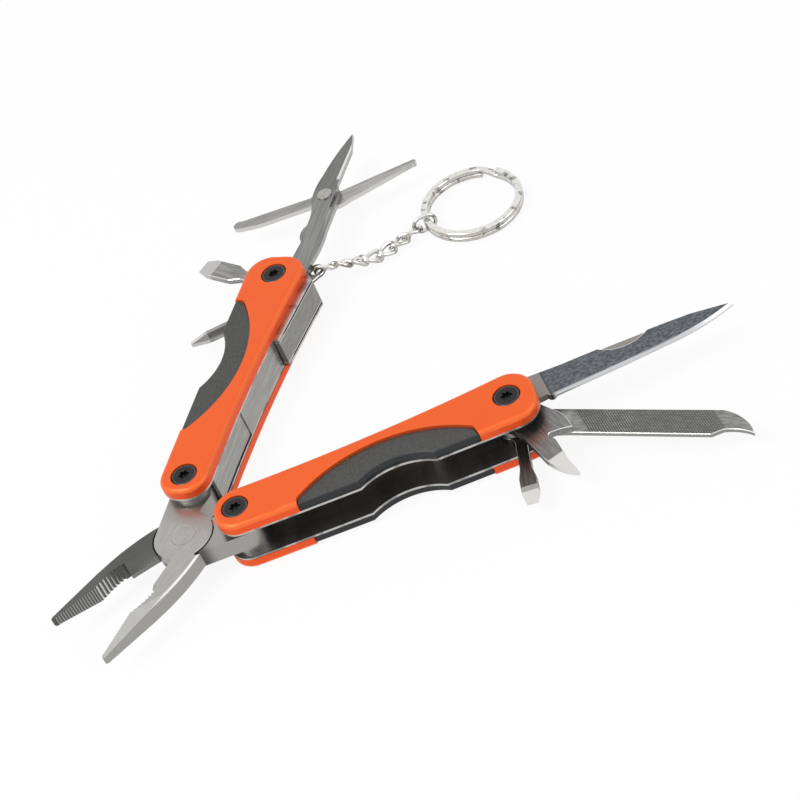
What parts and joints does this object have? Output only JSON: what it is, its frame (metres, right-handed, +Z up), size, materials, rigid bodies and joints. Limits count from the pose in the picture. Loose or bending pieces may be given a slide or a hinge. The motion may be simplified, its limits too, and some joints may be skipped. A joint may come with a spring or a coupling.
{
  "type": "multi tool",
  "caption": "Keyring multi tool: needle-nose pliers with two folding handles that hold a knife, file, scissors, openers and drivers, on a chain with a split ring.",
  "frame": {"origin": "centre of the footprint, on the surface that the opened tool lies on", "axes": "+Z up, through the thickness of the handles and along every pivot; +X from the jaws towards the knife's tip; +Y towards the scissors"},
  "size_m": [0.1512, 0.1412, 0.0131],
  "materials": {
    "orange_anodised": "satin orange anodising",
    "grey_inlay": "dark grey, fine blasted",
    "black_screw": "black oxide",
    "liner_steel": "brushed, bright edges",
    "spring_steel": "brushed",
    "washer_steel": "turned",
    "plier_steel": "satin ground",
    "tool_steel": "satin ground",
    "nickel_plate": "bright nickel"
  },
  "bodies": {
    "upper_jaw": {"plier_half_upper": "plier_steel", "plier_rivet": "plier_steel"},
    "lower_jaw": {"plier_half_lower": "plier_steel"},
    "left_handle": {"left_top_cover": "orange_anodised", "left_bottom_cover": "orange_anodised", "left_top_inlay": "grey_inlay", "left_bottom_inlay": "grey_inlay", "left_channel": "liner_steel", "left_back_spring": "spring_steel", "left_front_screw": "black_screw", "left_rear_screw": "black_screw", "left_front_barrel": "black_screw", "left_rear_barrel": "black_screw", "left_front_washers": "washer_steel", "left_tool_washers": "washer_steel", "lanyard_hanger": "tool_steel"},
    "right_handle": {"right_top_cover": "orange_anodised", "right_bottom_cover": "orange_anodised", "right_top_inlay": "grey_inlay", "right_bottom_inlay": "grey_inlay", "right_channel": "liner_steel", "right_back_spring": "spring_steel", "right_front_screw": "black_screw", "right_rear_screw": "black_screw", "right_front_barrel": "black_screw", "right_rear_barrel": "black_screw", "right_front_washers": "washer_steel", "right_tool_washers": "washer_steel"},
    "knife": {"knife_blade": "tool_steel"},
    "opener": {"can_opener": "tool_steel"},
    "file": {"nail_file": "tool_steel"},
    "small_driver": {"small_screwdriver": "tool_steel"},
    "large_driver": {"large_screwdriver": "tool_steel"},
    "scissors": {"scissors_blade": "tool_steel", "scissors_rivet": "tool_steel"},
    "lever": {"scissors_lever": "tool_steel"},
    "cross_driver": {"cross_screwdriver": "tool_steel"},
    "link_1": {"chain_link_1": "nickel_plate"},
    "link_2": {"chain_link_2": "nickel_plate"},
    "link_3": {"chain_link_3": "nickel_plate"},
    "link_4": {"chain_link_4": "nickel_plate"},
    "link_5": {"chain_link_5": "nickel_plate"},
    "link_6": {"chain_link_6": "nickel_plate"},
    "link_7": {"chain_link_7": "nickel_plate"},
    "loop": {"ring_loop": "nickel_plate"},
    "ring": {"split_ring": "nickel_plate"}
  },
  "joints": [
    {"name": "plier_joint", "type": "hinge", "parent": "upper_jaw", "child": "lower_jaw", "pos_m": [-0.04469, -0.03224, 0.00655], "axis": [0, 0, 1], "range_deg": [0, 31.7]},
    {"name": "left_fold", "type": "hinge", "parent": "upper_jaw", "child": "left_handle", "pos_m": [-0.04002, -0.02032, 0.00655], "axis": [0, 0, 1], "range_deg": [0, 151]},
    {"name": "right_fold", "type": "hinge", "parent": "lower_jaw", "child": "right_handle", "pos_m": [-0.03236, -0.03566, 0.00655], "axis": [0, 0, -1], "range_deg": [0, 151]},
    {"name": "knife_hinge", "type": "hinge", "parent": "right_handle", "child": "knife", "pos_m": [0.02644, -0.03916, 0.00915], "axis": [0, 0, -1], "range_deg": [0, 183.41]},
    {"name": "opener_hinge", "type": "hinge", "parent": "right_handle", "child": "opener", "pos_m": [0.02644, -0.03916, 0.0074], "axis": [0, 0, -1], "range_deg": [-71.59, 108.41]},
    {"name": "file_hinge", "type": "hinge", "parent": "right_handle", "child": "file", "pos_m": [0.02644, -0.03916, 0.0058], "axis": [0, 0, -1], "range_deg": [-31.59, 148.41]},
    {"name": "small_driver_hinge", "type": "hinge", "parent": "right_handle", "child": "small_driver", "pos_m": [0.02644, -0.03916, 0.00415], "axis": [0, 0, -1], "range_deg": [-98.09, 81.91]},
    {"name": "large_driver_hinge", "type": "hinge", "parent": "left_handle", "child": "large_driver", "pos_m": [-0.00699, 0.02844, 0.0091], "axis": [0, 0, 1], "range_deg": [-72.91, 107.09]},
    {"name": "scissors_hinge", "type": "hinge", "parent": "left_handle", "child": "scissors", "pos_m": [-0.00699, 0.02844, 0.0076], "axis": [0, 0, -1], "range_deg": [-142, 0]},
    {"name": "cross_driver_hinge", "type": "hinge", "parent": "left_handle", "child": "cross_driver", "pos_m": [-0.00699, 0.02844, 0.00455], "axis": [0, 0, 1], "range_deg": [-125.11, 54.89]},
    {"name": "lever_hinge", "type": "hinge", "parent": "scissors", "child": "lever", "pos_m": [0.0106, 0.05354, 0.0064], "axis": [0, 0, 1], "range_deg": [0, 62], "stiffness_Nm_per_rad": 0.02},
    {"name": "link_1_hinge", "type": "hinge", "parent": "left_handle", "child": "link_1", "pos_m": [0.00214, 0.0309, 0.00645], "axis": [0, 0, 1], "range_deg": [-8, 8]},
    {"name": "link_2_hinge", "type": "hinge", "parent": "link_1", "child": "link_2", "pos_m": [0.00563, 0.03116, 0.00586], "axis": [0, 0, 1], "range_deg": [-8, 8]},
    {"name": "link_3_hinge", "type": "hinge", "parent": "link_2", "child": "link_3", "pos_m": [0.00913, 0.0315, 0.00439], "axis": [0, 0, 1], "range_deg": [-8, 8]},
    {"name": "link_4_hinge", "type": "hinge", "parent": "link_3", "child": "link_4", "pos_m": [0.01262, 0.03201, 0.00278], "axis": [0, 0, 1], "range_deg": [-8, 8]},
    {"name": "link_5_hinge", "type": "hinge", "parent": "link_4", "child": "link_5", "pos_m": [0.01612, 0.0327, 0.00183], "axis": [0, 0, 1], "range_deg": [-8, 8]},
    {"name": "link_6_hinge", "type": "hinge", "parent": "link_5", "child": "link_6", "pos_m": [0.01962, 0.03359, 0.00176], "axis": [0, 0, 1], "range_deg": [-8, 8]},
    {"name": "link_7_hinge", "type": "hinge", "parent": "link_6", "child": "link_7", "pos_m": [0.02311, 0.03463, 0.00176], "axis": [0, 0, 1], "range_deg": [-8, 8]},
    {"name": "loop_hinge", "type": "hinge", "parent": "link_7", "child": "loop", "pos_m": [0.02661, 0.03576, 0.00176], "axis": [0, 0, 1], "range_deg": [-8, 8]},
    {"name": "ring_hinge", "type": "hinge", "parent": "loop", "child": "ring", "pos_m": [0.02886, 0.03576, 0.00241], "axis": [0, 0, 1], "range_deg": [-8, 8]}
  ]
}
